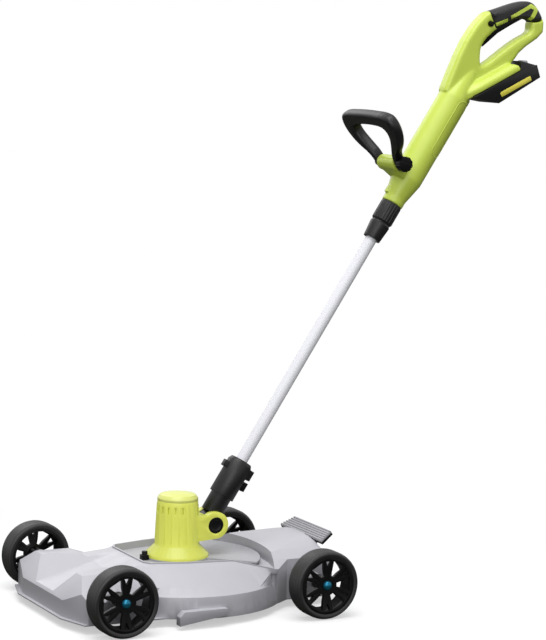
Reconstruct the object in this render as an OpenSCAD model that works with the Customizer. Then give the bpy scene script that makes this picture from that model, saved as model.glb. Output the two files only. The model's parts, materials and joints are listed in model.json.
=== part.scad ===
// A battery string trimmer docked in a four-wheeled mowing deck.
// The motor axis is the middle of the machine, which travels towards -X; +Z is up.
// Heights are set from the axles, so the whole machine rides on its wheels.

/* [Wheels] */
// Outside diameter of each tyre
wheel_d = 130; // [120:1:140]
// Width of each tyre
tyre_w = 44; // [38:1:50]
// Thickness of the tread band
tyre_t = 11; // [8:1:14]
// Distance between the front and rear axles
wheel_base = 410; // [400:1:450]
// Distance between the middles of the left and right tyres
track = 429; // [410:1:470]
// Diameter of the axle rods
axle_d = 10; // [8:1:12]
// Diameter of the wheel hubs
hub_d = 26; // [24:1:32]
// Thickness of the wheel's outer band
band_t = 5; // [3:0.5:7]
// Thickness of the spoked web
web_t = 8; // [5:1:11]
// How far the spokes sink from the rim to the hub
web_dish = 5; // [2:1:8]
// Diameter of the domed axle caps
cap_d = 18; // [15:1:22]
// Height of the domed axle caps
cap_h = 7; // [5:0.5:9]

/* [Deck] */
// Wall of the deck moulding
deck_wall = 3; // [2.5:0.5:4]
// Depth of the skirt below the axles
skirt_drop = 50; // [44:1:54]
// Depth of the skirt's upper edge below the axles
break_drop = 11; // [6:1:16]
// Radius of the round skirt at its lower edge
drum_r = 203; // [196:1:210]
// Radius of the round skirt at its upper edge
break_r = 196; // [192:1:200]
// Radius at which the cone over the skirt turns flat
crown_r = 112; // [106:1:120]
// Height of the recess rim above the axles
rim_rise = 33; // [31:1:38]
// Height of the recess floor above the axles
floor_rise = 23; // [20:1:25]
// Reach of the nose ahead of the front axle
nose_reach = 70; // [60:1:80]
// Width of the nose's front wall
nose_w = 200; // [180:5:230]
// Height of the fenders above the axles
fender_rise = 30; // [26:1:34]
// Width of the ramp's floor in the nose
ramp_w = 86; // [70:2:100]
// Depth of the ramp's foot below the axles
ramp_drop = 12; // [8:1:18]
// Reach of the rear wall behind the rear axle
rear_reach = 78; // [70:1:90]
// Width of the rear body between the wheels
rear_w = 236; // [220:2:260]
// Height of the rear hood above the axles
hood_rise = 56; // [52:1:60]
// Distance of the hood's arch behind the motor axis
arch_x = 166; // [164:1:172]
// Radius of the hood's arch in plan
arch_r = 390; // [340:5:460]

/* [Pedal] */
// Width of the foot pedal
pedal_w = 172; // [150:2:190]
// Length of the foot pedal
pedal_len = 34; // [28:1:40]
// Slope of the foot pedal at rest
pedal_slope = 30; // [24:1:36]
// Count of ribs on the tread
rib_count = 6; // [4:1:8]

/* [Trimmer head] */
// Radius of the motor housing at its foot
motor_foot_r = 43; // [41:0.5:46]
// Radius of the motor housing at its top
motor_top_r = 39; // [38:0.5:41]
// Height of the motor housing above its seat
motor_h = 108; // [100:1:116]
// Height of the motor cap
motor_cap_h = 14; // [10:1:18]
// Radius of the housing's flange
flange_r = 61; // [59:1:64]
// Wall of the motor housing
motor_wall = 3.5; // [3:0.5:4.5]
// Radius of the motor
motor_r = 30; // [26:1:32]
// Length of the motor
motor_len = 66; // [55:1:74]
// Radius of the motor shaft
shaft_r = 4; // [3:0.5:5]
// Thickness of the guard's plate
guard_t = 3.5; // [3:0.5:5]
// Radius of the guard
guard_r = 160; // [157:1:162]

/* [Line head] */
// Radius of the spool housing
head_r = 45; // [42:1:48]
// Height of the spool housing
head_h = 32; // [30:1:36]
// Radius that the line's tips sweep
cut_r = 145; // [130:1:150]
// Diameter of the cutting line
line_d = 2.4; // [2:0.2:3]
// Travel of the bump knob
bump_travel = 5; // [3:0.5:6]

/* [Shaft] */
// Angle of the shaft from the ground
shaft_angle = 57.3; // [50:0.1:64]
// Distance of the tilt pivot behind the motor axis
pivot_reach = 68; // [66:1:72]
// Height of the tilt pivot above the axles
pivot_rise = 85; // [80:1:90]
// Distance of the tube's axis ahead of the pivot
tube_offset = 8; // [6:0.5:9]
// Radius of the pivot barrel
barrel_r = 26; // [25:0.5:28]
// Width of the pivot barrel
barrel_w = 60; // [56:1:66]
// Width of the knuckle inside the barrel
knuckle_w = 27; // [24:1:30]
// Radius of the pivot pin
pin_r = 5; // [4:0.5:6]
// Outside diameter of the lower tube
tube_d = 23; // [21:0.5:25]
// Wall of the tubes
tube_wall = 1.6; // [1.2:0.1:2]
// Radius of the sleeve's neck
neck_r = 21; // [20:0.5:22]
// Radius of the sleeve's body
sleeve_r = 25; // [24:0.5:27]
// Height of the sleeve's top above the pivot
sleeve_top = 134; // [126:1:142]
// Length of bare tube between the sleeve and the collar
tube_show = 506; // [440:1:560]
// Length of the twist collar
collar_len = 80; // [70:1:90]
// Radius of the twist collar
collar_r = 20.5; // [19.5:0.5:22]
// Travel of the telescopic tube
slide_travel = 170; // [120:5:180]

/* [Handle] */
// Radius of the round housing above the collar
housing_r = 31; // [29:0.5:33]
// Length of the round housing
housing_len = 240; // [230:1:260]
// Length of the rear handle along the shaft
handle_len = 265; // [255:1:280]
// Depth that the rear handle's outline is drawn to
handle_depth = 150; // [145:1:158]
// Thickness of the rear handle
handle_t = 34; // [32:1:40]
// Thickness of the soft grip
grip_t = 37; // [35:1:42]
// Wall of the handle shells
shell_wall = 3; // [2.5:0.5:4]
// Width of the trigger
trigger_w = 14; // [12:1:16]
// Angle that the trigger turns
trigger_swing = 6; // [4:0.5:7]

/* [Battery] */
// Reach of the battery pack past its seat
battery_over = 36; // [30:1:44]
// Width of the battery pack
battery_w = 76; // [70:1:84]
// Height of the battery pack
battery_h = 36; // [32:1:42]

/* [Loop handle] */
// Height of the loop's bolt above the start of the round housing
loop_rise = 66; // [60:1:80]
// Distance of the loop's bolt ahead of the tube's axis
loop_out = 48; // [46:1:52]
// Angle of the loop from the shaft
loop_angle = 64; // [55:1:80]
// Reach of the loop from its bolt
loop_reach = 118; // [110:1:128]
// Width across the loop
loop_w = 200; // [180:2:220]
// Thickness of the loop's bar
loop_t = 24; // [22:1:28]
// Radius of the loop's knob
knob_r = 15; // [13:0.5:17]

/* [Hidden] */
$fn = 64;

lime = "#c5d84a";
grey = "#cbcad1";
black = "#2a2a2e";
steel = "#b9bcc0";

// Fits and clearances
overrun = 1;
fit = 0.06;
slide_fit = 0.1;
loose = 0.4;
run_gap = 0.5;

// Heights above the ground
axle_z = wheel_d / 2;
skirt_z = axle_z - skirt_drop;
break_z = axle_z - break_drop;
rim_z = axle_z + rim_rise;
floor_z = axle_z + floor_rise;
fender_z = axle_z + fender_rise;
ramp_z = axle_z - ramp_drop;
hood_z = axle_z + hood_rise;
seat_z = floor_z + guard_t;
cap_z = seat_z + motor_h;
pivot_z = axle_z + pivot_rise;
sky_z = pivot_z + pivot_rise;

// Places along the machine
nose_x = -wheel_base / 2 - nose_reach;
lip_out = 7;
lip_t = 2.5;
rear_x = wheel_base / 2 + rear_reach;
wheel_gap = 16;
fender_hw = track / 2 - tyre_w / 2 - wheel_gap;

// The rear end of the handle, which is the machine's last point
handle_back_share = [0.517, 0.9];

function along_shaft(p) = [
  pivot_reach + p[0] * sin(shaft_angle) + p[1] * cos(shaft_angle),
  pivot_z - p[0] * cos(shaft_angle) + p[1] * sin(shaft_angle)
];
function mirrored(pts) = concat(pts, [for (i = [len(pts) - 1:-1:0]) [pts[i][0], -pts[i][1]]]);
function mirrored_u(pts) = concat(pts, [for (i = [len(pts) - 1:-1:0]) [-pts[i][0], pts[i][1]]]);
function polar(r, a) = [r * cos(a), r * sin(a)];
function outward(p, g) = p * (1 + g / norm(p));

// A polygon drawn in X and Z, as thick as w along Y
module side_slab(pts, w) {
  rotate([90, 0, 0]) translate([0, 0, -w / 2]) linear_extrude(height = w) polygon(pts);
}

// A polygon drawn in Y and Z, from x0 to x1
module long_slab(pts, x0, x1) {
  translate([x0, 0, 0]) rotate([90, 0, 90]) linear_extrude(height = x1 - x0) polygon(pts);
}

// A polygon drawn in X and Y, from z0 to z1
module flat_slab(pts, z0, z1) {
  translate([0, 0, z0]) linear_extrude(height = z1 - z0) polygon(pts);
}

// A round rod along Y, from y0 to y1
module cross_rod(r, y0, y1) {
  translate([0, y1, 0]) rotate([90, 0, 0]) cylinder(r = r, h = y1 - y0);
}

module ring(r_in, r_out, z0, z1) {
  translate([0, 0, z0]) difference() {
    cylinder(r = r_out, h = z1 - z0);
    translate([0, 0, -overrun]) cylinder(r = r_in, h = z1 - z0 + 2 * overrun);
  }
}

// Wheels: a spoked moulding with a tread band, turning on a plain rod
rim_r = wheel_d / 2 - tyre_t;
band_r = rim_r - band_t;
hub_out = tyre_w / 2 - web_dish - run_gap;
web_out = tyre_w / 2 - 2 * run_gap;
big_open_shares = [[0.40, 11], [0.62, 13], [0.97, 17]];
small_open_shares = [[0.68, 0], [0.96, 7]];
spoke_pairs = 6;
tyre_shares = [[0, 0.46], [0.4, 0.5], [0.72, 0.47], [0.92, 0.38], [1, 0.24]];

module at_wheel(end, side) {
  translate([end * wheel_base / 2, side * track / 2, axle_z]) rotate([-90 * side, 0, 0]) children();
}

module wheel(end, side) {
  big = [for (p = big_open_shares) polar(p[0] * band_r, p[1])];
  small = [for (p = small_open_shares) polar(p[0] * band_r, p[1])];
  color(black) at_wheel(end, side) difference() {
    union() {
      translate([0, 0, -tyre_w / 2]) cylinder(r = hub_d / 2, h = tyre_w / 2 + hub_out);
      rotate_extrude() polygon([
        [axle_d / 2, hub_out - web_t], [axle_d / 2, hub_out], [hub_d / 2, hub_out],
        [band_r + run_gap, web_out], [band_r + run_gap, web_out - web_t], [hub_d / 2, hub_out - web_t]
      ]);
      ring(band_r, rim_r, -web_out, web_out);
    }
    translate([0, 0, -tyre_w]) cylinder(r = axle_d / 2 + fit, h = 2 * tyre_w);
    for (i = [0:spoke_pairs - 1]) rotate([0, 0, i * 360 / spoke_pairs]) {
      flat_slab(mirrored(big), -web_out, web_out + overrun);
      rotate([0, 0, 180 / spoke_pairs]) flat_slab(mirrored(small), -web_out, web_out + overrun);
    }
  }
}

module tyre(end, side) {
  profile = [for (p = tyre_shares) [rim_r + p[0] * tyre_t, p[1] * tyre_w]];
  color("#3a3a3e") at_wheel(end, side) rotate_extrude($fn = 96) polygon(mirrored(profile));
}

axle_end = track / 2 + hub_out + cap_h / 2;

module axle(end) {
  color(steel) translate([end * wheel_base / 2, 0, axle_z]) cross_rod(axle_d / 2, -axle_end, axle_end);
}

cap_steps = 6;

module axle_caps() {
  dome = [for (i = [0:cap_steps]) [cap_d / 2 * cos(90 * i / cap_steps), cap_h * sin(90 * i / cap_steps)]];
  color("#2f7f96") for (end = [-1, 1], side = [-1, 1]) at_wheel(end, side)
    translate([0, 0, hub_out + loose]) difference() {
      rotate_extrude() polygon(concat([[0, 0]], dome));
      translate([0, 0, -overrun]) cylinder(r = axle_d / 2, h = cap_h / 2 - loose + overrun);
    }
}

// Deck: a round drum, a faceted nose with a sunk ramp, and a rear hood, hollow underneath
fender_run = 31;
fender_fall = 38;
fender_flat = 232;
nose_rise_share = 0.42;
nose_sweep = 20;
fender_back = 175;
side_back = 150;
merge_x = 70;
merge_hw = 122;
ramp_depth = 46;
ramp_flare = 64;
hood_front = 96;
hood_taper = 22;
hood_turn = 150;
hood_hw = 146;
hood_out = 2;
hood_neck = 178;
hood_crest = 15;
hood_fall = 42.8;
hood_tuck = 7;
hood_step = 2.5;
hood_sink = 16;
hood_shares = [[1, 1], [0.8, 0.62], [0.6, 0.32], [0.38, 0.1], [0.18, 0]];
rear_corner = 14;
rear_slope = 23;
rear_drop = 29;
recess_front = 100;
rim_w = 4;
rim_lip = 4;
rim_base = 14;
recess_shares = [[-1, 0.7], [-0.91, 0.86], [-0.24, 1.04], [0.61, 1.17]];
arch_half_w = 140;
arch_end = [arch_x - arch_r + sqrt(arch_r * arch_r - arch_half_w * arch_half_w), arch_half_w];
head_hole_r = 56;
bay_r = 156;
bay_angle = 40;
boss_r = 14;
apron_z = hood_z - hood_fall * pow(arch_half_w / hood_hw, 2);

module drum(t, z0) {
  rotate_extrude($fn = 128) polygon([
    [0, z0], [drum_r - t, z0], [drum_r - t, skirt_z], [break_r - t, break_z],
    [crown_r, rim_z - t], [0, rim_z - t]
  ]);
}

module ramp(t) {
  run = -recess_front - nose_x;
  rise = rim_z - ramp_z;
  section = [
    [-ramp_w / 2 - t, -t], [ramp_w / 2 + t, -t],
    [ramp_w / 2 + ramp_flare + t, ramp_depth], [-ramp_w / 2 - ramp_flare - t, ramp_depth]
  ];
  translate([nose_x, 0, ramp_z]) rotate([0, -atan2(rise, run), 0]) long_slab(section, -ramp_depth, run);
}

module nose(t, z0) {
  x0 = nose_x + t;
  hw = fender_hw - t;
  top = fender_z - t;
  knee = skirt_z + nose_rise_share * (fender_z - skirt_z) - t;
  plan = [
    [x0, nose_w / 2 - t], [x0 + nose_sweep, hw], [-side_back, hw], [-merge_x, merge_hw - t]
  ];
  difference() {
    intersection() {
      flat_slab(mirrored(plan), z0, sky_z);
      side_slab([
        [x0, z0], [x0, knee], [x0 + fender_run, top],
        [-fender_back, top], [-merge_x, break_z - t], [-merge_x, z0]
      ], track);
      long_slab(mirrored_u([[hw, z0], [hw, top - fender_fall], [fender_flat / 2, top]]), x0 - overrun, 0);
    }
    ramp(t);
  }
}

module hood(t, z0) {
  x1 = rear_x - t;
  hw = hood_hw - t;
  top = hood_z - t;
  section = [for (p = hood_shares) [p[0] * hw, top - p[1] * hood_fall]];
  plan = [
    [hood_front, arch_half_w - hood_taper - t], arch_end + [0, hood_out - t], [hood_turn, hw - hood_tuck],
    [hood_neck, rear_w / 2 - t], [x1 - rear_corner, rear_w / 2 - t], [x1, rear_w / 2 - t - rear_corner]
  ];
  intersection() {
    flat_slab(mirrored(plan), z0, sky_z);
    side_slab([
      [hood_front, z0], [hood_front, rim_z - t], [arch_x, top - hood_crest], [x1 - rear_slope, top],
      [x1 - rear_slope + hood_step, top - hood_sink], [x1, top - rear_drop], [x1, z0]
    ], track);
    long_slab(mirrored_u(concat([[hw, z0]], section)), 0, x1 + overrun);
  }
}

module deck_form(t, z0) {
  drum(t, z0);
  nose(t, z0);
  hood(t, z0);
}

// The floor behind the rim: it falls to the ends of the hood's arch, and its flanks meet the skirt
module apron() {
  sink = deck_wall / 2;
  a = outward(recess_shares[3] * recess_front, -deck_wall);
  b = outward(arch_end, -deck_wall);
  a_foot = a * (break_r - deck_wall) / norm(a);
  b_foot = b * (break_r - deck_wall) / norm(b);
  a_z = rim_z - sink - (rim_z - break_z) * (norm(a) - crown_r) / (break_r - crown_r);
  foot_z = break_z - sink;
  points = [
    [a[0], a[1], a_z], [b[0], b[1], apron_z], [b[0], -b[1], apron_z], [a[0], -a[1], a_z],
    [a_foot[0], a_foot[1], foot_z], [b_foot[0], b_foot[1], foot_z],
    [b_foot[0], -b_foot[1], foot_z], [a_foot[0], -a_foot[1], foot_z]
  ];
  faces = [
    [0, 1, 2, 3], [7, 6, 5, 4], [0, 4, 1], [1, 4, 5], [3, 2, 7], [2, 6, 7], [1, 5, 6, 2], [0, 3, 7, 4]
  ];
  polyhedron(points, faces);
}

// The plate under the recess, thicker behind the rim where the floor falls
module tub() {
  recess(deck_wall, floor_z - deck_wall, sky_z);
  intersection() {
    recess(deck_wall, apron_z - deck_wall, sky_z);
    translate([recess_shares[3][0] * recess_front, -track / 2, 0]) cube([arch_x, track, sky_z]);
  }
}

// The recess that takes the trimmer's head and guard, grown by g
module recess(g, z0, z1) {
  pts = [for (p = recess_shares) outward(p * recess_front, g)];
  side = arch_end + [0, g] - pts[len(pts) - 1];
  ends = [pts[len(pts) - 1] + 2 * side, [2 * arch_x, arch_end[1] + g]];
  intersection() {
    flat_slab(mirrored(concat(pts, ends)), z0, z1);
    translate([arch_x - arch_r, 0, z0]) cylinder(r = arch_r + g, h = z1 - z0, $fn = 256);
  }
}

// A raised rim round the recess, level beside the motor and falling to the ends of the hood's arch
module recess_rim() {
  x0 = -recess_front - 4 * rim_w;
  x1 = recess_shares[3][0] * recess_front;
  x2 = arch_end[0] + rim_w;
  z0 = floor_z - rim_base;
  z1 = rim_z + rim_lip;
  intersection() {
    recess(rim_w, z0, sky_z);
    side_slab([[x0, z0 - overrun], [x0, z1], [x1, z1], [x2, apron_z + rim_lip / 4], [x2, z0 - overrun]], track);
  }
}

// The part of the hood that stands over the falling floor
module recess_back() {
  a = recess_shares[3] * recess_front;
  fall = atan2(floor_z - apron_z, arch_end[0] - a[0]);
  intersection() {
    recess(0, break_z, sky_z);
    translate([a[0], -track / 2, floor_z]) rotate([0, fall, 0]) cube([arch_x, track, sky_z]);
  }
}

module sector(r, a, z0, z1) {
  far = r / cos(a);
  intersection() {
    translate([0, 0, z0]) cylinder(r = r, h = z1 - z0, $fn = 128);
    flat_slab([[0, 0], polar(far, -a), [far, 0], polar(far, a)], z0, z1);
  }
}

module lip() {
  x0 = nose_x - lip_out;
  plan = [[x0, nose_w / 2 + lip_out], [x0 + nose_sweep, fender_hw], [0, fender_hw]];
  flat_slab(mirrored(plan), skirt_z, skirt_z + lip_t);
}

guide_len = 96;
guide_h = 19;
guide_dip = 7;
guide_out = 9;
guide_back = 8;
guide_nose_share = 0.09;

// The wedge moulded on the skirt that shows where the line cuts
module edge_guide(side) {
  x0 = guide_back - guide_len;
  y0 = drum_r - guide_back;
  translate([0, side * (y0 + (guide_out + guide_back) / 2), 0]) side_slab([
    [x0, skirt_z - guide_dip], [x0, skirt_z + guide_h / 2], [x0 + guide_nose_share * guide_len, skirt_z + guide_h],
    [guide_back, skirt_z + guide_h], [guide_back, skirt_z + guide_h / 3]
  ], guide_out + guide_back);
}

pedal_pin_r = 2.5;
pedal_drop = 14;
pedal_back = 14;
ear_t = 8;
ear_r = 5;
ear_place_share = 0.62;
pedal_x = rear_x - pedal_back;
pedal_z = hood_z - pedal_drop;

module pedal_ear(side) {
  y = side * ear_place_share * pedal_w / 2;
  translate([pedal_x, y, 0]) difference() {
    union() {
      translate([0, 0, pedal_z]) cross_rod(ear_r, -ear_t / 2, ear_t / 2);
      translate([-ear_r, -ear_t / 2, pedal_z - 2 * ear_r]) cube([2 * ear_r, ear_t, 2 * ear_r]);
    }
    translate([0, 0, pedal_z]) cross_rod(pedal_pin_r, -ear_t, ear_t);
  }
}

module axle_boss(end, side, y0) {
  y1 = track / 2 - tyre_w / 2 - run_gap;
  translate([end * wheel_base / 2, 0, axle_z])
    cross_rod(boss_r, side > 0 ? y0 : -y1, side > 0 ? y1 : -y0);
}

module deck_shell() {
  color(grey) {
    difference() {
      union() {
        deck_form(0, skirt_z);
        apron();
        recess_rim();
        lip();
        for (side = [-1, 1]) {
          edge_guide(side);
          axle_boss(-1, side, fender_hw - 2 * deck_wall);
          axle_boss(1, side, rear_w / 2 - 2 * deck_wall);
        }
      }
      difference() {
        deck_form(deck_wall, skirt_z - overrun);
        tub();
      }
      recess(0, floor_z, sky_z);
      recess_back();
      translate([0, 0, skirt_z]) cylinder(r = head_hole_r, h = rim_z);
      sector(bay_r, bay_angle, skirt_z, rim_z);
      for (end = [-1, 1]) translate([end * wheel_base / 2, 0, axle_z]) cross_rod(axle_d / 2, -track, track);
    }
    for (side = [-1, 1]) pedal_ear(side);
  }
}

// Foot pedal: a black lever under a ribbed tread, hinged on the hood's rear edge
tread_t = 4;
lever_t = 5;
rib_h = 1.6;
rib_w = 2.4;
pedal_taper = 11;
lever_barrel_r = 4.6;
lever_lift = 0.5;
tread_front = 1.8;

module at_pedal() {
  translate([pedal_x, 0, pedal_z]) rotate([0, -pedal_slope, 0]) children();
}

module pedal_plan(z0, z1) {
  flat_slab(mirrored([[tread_front, pedal_w / 2], [pedal_len, pedal_w / 2 - pedal_taper]]), z0, z1);
}

module pedal_lever() {
  inner = ear_place_share * pedal_w / 2 - ear_t / 2 - run_gap;
  notch_w = ear_t + 2 * run_gap;
  color(black) at_pedal() difference() {
    union() {
      pedal_plan(lever_lift, lever_lift + lever_t);
      cross_rod(lever_barrel_r, -inner, inner);
    }
    cross_rod(pedal_pin_r + fit, -pedal_w, pedal_w);
    for (side = [-1, 1]) translate([-ear_r, side * ear_place_share * pedal_w / 2 - notch_w / 2, -ear_r])
      cube([3 * ear_r, notch_w, 2 * ear_r + lever_t]);
  }
}

module pedal_tread() {
  pitch = (pedal_len - tread_front) / rib_count;
  color(grey) at_pedal() translate([0, 0, lever_lift + lever_t]) {
    pedal_plan(0, tread_t);
    intersection() {
      pedal_plan(tread_t, tread_t + rib_h);
      for (i = [0:rib_count - 1])
        translate([tread_front + (i + 0.5) * pitch - rib_w / 2, -pedal_w / 2, tread_t])
          cube([rib_w, pedal_w, rib_h]);
    }
  }
}

module pedal_pin() {
  y1 = ear_place_share * pedal_w / 2 + ear_t / 2;
  color(steel) translate([pedal_x, 0, pedal_z]) cross_rod(pedal_pin_r, -y1, y1);
}

// Dock catch: a sprung slider on the recess floor that presses on the front of the head's flange
catch_len = 13;
catch_w = 15;
catch_h = 9;
catch_knob_r = 5.5;
catch_knob_h = 7;

module dock_catch() {
  x1 = -ring_r - loose;
  color(black) translate([x1 - catch_len, 0, floor_z + loose]) {
    translate([0, -catch_w / 2, 0]) cube([catch_len, catch_w, catch_h]);
    translate([catch_len - catch_knob_r - loose, 0, catch_h]) cylinder(r = catch_knob_r, h = catch_knob_h);
  }
}

// Trimmer head: a green housing on the guard's ring, with the motor upright inside
flange_t = 5;
base_rise = 18;
base_foot = 5;
cap_knee_share = 0.8;
motor_floor = 12;
bearing_r = 11;
bearing_h = 7;
neck_drop = 26;
neck_top = 20;
button_r = 15.5;
button_h = 5;
button_travel = 3;
vent_count = 9;
vent_w = 3;
vent_h = 13;
vent_drop = 22;
ring_r = flange_r;
screw_r = 2;
screw_head_r = 4;
screw_head_h = 2.5;
screw_ring = 50;
screw_len = 11;
screw_count = 4;

module at_pivot() {
  translate([pivot_reach, 0, pivot_z]) children();
}

module motor_housing() {
  color(lime) difference() {
    union() {
      rotate_extrude() polygon([
        [0, seat_z], [flange_r, seat_z], [flange_r, seat_z + flange_t],
        [motor_foot_r + base_foot, seat_z + base_rise], [motor_foot_r, seat_z + base_rise + base_foot],
        [motor_top_r, cap_z], [0, cap_z]
      ]);
      at_pivot() cross_rod(barrel_r, -barrel_w / 2, barrel_w / 2);
      side_slab([
        [0, pivot_z - neck_drop - base_foot], [pivot_reach, pivot_z - barrel_r],
        [pivot_reach, pivot_z + neck_top], [0, pivot_z + neck_top]
      ], barrel_w);
    }
    translate([0, 0, seat_z + motor_floor]) cylinder(r = motor_top_r - motor_wall, h = motor_h);
    translate([0, 0, seat_z - overrun]) cylinder(r = bearing_r, h = bearing_h + 2 * overrun);
    translate([0, 0, seat_z]) cylinder(r = 2 * shaft_r, h = motor_h);
    at_pivot() {
      cross_rod(barrel_r + overrun, -knuckle_w / 2 - loose, knuckle_w / 2 + loose);
      cross_rod(pin_r, -barrel_w / 2, barrel_w / 2 - pin_r);
      cross_rod(button_r + loose, -barrel_w / 2 - overrun, -barrel_w / 2 + button_h + button_travel + loose);
    }
    for (i = [0:vent_count - 1]) rotate([0, 0, 180 + (i - (vent_count - 1) / 2) * 180 / vent_count])
      translate([motor_top_r - 2 * motor_wall, -vent_w / 2, cap_z - vent_drop])
        cube([4 * motor_wall, vent_w, vent_h]);
    for (i = [0:screw_count - 1]) rotate([0, 0, (i + 0.5) * 360 / screw_count])
      translate([screw_ring, 0, seat_z - overrun]) cylinder(r = screw_r, h = screw_len - guard_t + overrun);
  }
}

module motor_cap() {
  r = motor_top_r;
  color(lime) rotate_extrude() polygon([
    [0, cap_z + motor_cap_h - motor_wall], [r - motor_wall - base_foot, cap_z + motor_cap_h - motor_wall],
    [r - motor_wall, cap_z], [r, cap_z], [r, cap_z + motor_cap_h / 3],
    [r - base_foot, cap_z + cap_knee_share * motor_cap_h],
    [r / 2, cap_z + motor_cap_h], [0, cap_z + motor_cap_h]
  ]);
}

module motor() {
  color(steel) ring(shaft_r + loose, motor_r, seat_z + motor_floor, seat_z + motor_floor + motor_len);
}

module shaft_bearing() {
  color(steel) ring(shaft_r + fit, bearing_r, seat_z, seat_z + bearing_h);
}

// Guard: a fan-shaped plate under the flange, with a skirt that hangs in the deck's bay
guard_angle = 43;
bay_gap = 2;
skirt_t = 3;
skirt_angle = 38;
guard_skirt_r = bay_r - bay_gap;
guard_skirt_h = 22;
guard_hole_r = 32;
blade_w = 16;
blade_t = 2;
blade_h = 14;

module guard() {
  color("#c2c1c9") difference() {
    union() {
      translate([0, 0, floor_z]) cylinder(r = ring_r, h = guard_t);
      sector(guard_r, guard_angle, floor_z, seat_z);
      difference() {
        sector(guard_skirt_r, skirt_angle, floor_z - guard_skirt_h, floor_z);
        translate([0, 0, floor_z - guard_skirt_h - overrun])
          cylinder(r = guard_skirt_r - skirt_t, h = guard_skirt_h + overrun, $fn = 128);
      }
    }
    translate([0, 0, floor_z - overrun]) cylinder(r = guard_hole_r, h = guard_t + 2 * overrun);
    for (i = [0:screw_count - 1]) rotate([0, 0, (i + 0.5) * 360 / screw_count])
      translate([screw_ring, 0, floor_z - overrun]) cylinder(r = screw_r, h = guard_t + 2 * overrun);
  }
}

module line_cutter() {
  color(steel) rotate([0, 0, skirt_angle / 2])
    translate([guard_skirt_r - skirt_t - slide_fit - blade_w, 0, floor_z - guard_skirt_h])
      cube([blade_w, blade_t, blade_h]);
}

module guard_screws() {
  color(steel) for (i = [0:screw_count - 1]) rotate([0, 0, (i + 0.5) * 360 / screw_count])
    translate([screw_ring, 0, floor_z]) {
      cylinder(r = screw_r, h = screw_len);
      translate([0, 0, -screw_head_h]) cylinder(r = screw_head_r, h = screw_head_h);
    }
}

// Line head: a cup on the motor shaft that holds the spool, the line and the bump knob
head_gap = 10;
head_wall = 4;
head_top = floor_z - head_gap;
head_low = head_top - head_h;
spool_r = 37;
spool_flange = 2.5;
spool_core_r = 18;
spool_bore_r = 11;
spool_h = 22;
winding_r = 31;
line_z = head_low + head_h / 2;
eyelet_r = 4;
knob_flange_r = 23;
knob_flange_h = 10;
knob_stem = 16;
spring_wire = 1.4;
spring_turns = 4;

module motor_shaft() {
  color(steel) translate([0, 0, head_top - head_wall])
    cylinder(r = shaft_r, h = seat_z + motor_floor + motor_len + shaft_r - head_top + head_wall);
}

module spool_housing() {
  color(black) difference() {
    union() {
      translate([0, 0, head_low]) cylinder(r = head_r, h = head_h);
      translate([0, 0, head_top]) cylinder(r = 2 * shaft_r, h = head_gap / 2);
    }
    translate([0, 0, head_low - overrun]) cylinder(r = head_r - head_wall, h = head_h - head_wall + overrun);
    translate([0, 0, head_low]) cylinder(r = shaft_r, h = head_h + head_gap);
    translate([0, 0, line_z]) rotate([0, 90, 0]) translate([0, 0, -head_r - overrun])
      cylinder(r = eyelet_r, h = 2 * (head_r + overrun));
  }
}

module line_spool() {
  z0 = head_top - head_wall - spool_h;
  color("#3f4044") {
    ring(spool_bore_r, spool_core_r, z0, z0 + spool_h);
    ring(spool_core_r - overrun, spool_r, z0, z0 + spool_flange);
    ring(spool_core_r - overrun, spool_r, z0 + spool_h - spool_flange, z0 + spool_h);
  }
}

module line_winding() {
  z0 = head_top - head_wall - spool_h;
  color("#e2703a") ring(spool_core_r, winding_r, z0 + spool_flange, z0 + spool_h - spool_flange);
}

module cutting_line() {
  color("#e2703a") for (turn = [0, 180]) rotate([0, 0, turn]) translate([winding_r, 0, line_z])
    rotate([0, 90, 0]) cylinder(r = line_d / 2, h = cut_r - winding_r, $fn = 16);
}

module line_eyelets() {
  color(steel) for (turn = [0, 180]) rotate([0, 0, turn]) translate([0, 0, line_z]) rotate([0, 90, 0])
    ring(line_d / 2 + slide_fit, eyelet_r, head_r - head_wall, head_r + overrun);
}

knob_top = head_top - head_wall - spool_h - bump_travel - loose;

module bump_knob() {
  color(black) {
    rotate_extrude() polygon([
      [0, knob_top - knob_flange_h], [knob_flange_r - base_foot, knob_top - knob_flange_h],
      [knob_flange_r, knob_top - knob_flange_h / 2], [knob_flange_r, knob_top], [0, knob_top]
    ]);
    translate([0, 0, knob_top]) cylinder(r = spool_bore_r - loose, h = knob_stem);
  }
}

// A coil spring as one swept tube with closed ends
coil_sides = 6;
coil_steps = 12;

module coil(r, wire, z0, z1, turns) {
  n = turns * coil_steps;
  rise = (z1 - z0 - wire) / n;
  function at(i, j) =
    let (a = i * 360 / coil_steps, b = j * 360 / coil_sides, q = r + wire / 2 * cos(b))
    [q * cos(a), q * sin(a), z0 + wire / 2 + i * rise + wire / 2 * sin(b)];
  points = [for (i = [0:n], j = [0:coil_sides - 1]) at(i, j)];
  walls = [
    for (i = [0:n - 1], j = [0:coil_sides - 1])
      let (k = (j + 1) % coil_sides, a = i * coil_sides, b = a + coil_sides)
      each [[a + j, b + j, b + k], [a + j, b + k, a + k]]
  ];
  start = [for (j = [1:coil_sides - 2]) [0, j, j + 1]];
  last = n * coil_sides;
  stop = [for (j = [1:coil_sides - 2]) [last, last + j + 1, last + j]];
  polyhedron(points, concat(walls, start, stop));
}

module spool_spring() {
  color(steel) coil(spool_bore_r - 2 * spring_wire, spring_wire, knob_top + knob_stem + slide_fit,
    head_top - head_wall - slide_fit, spring_turns);
}

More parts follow.
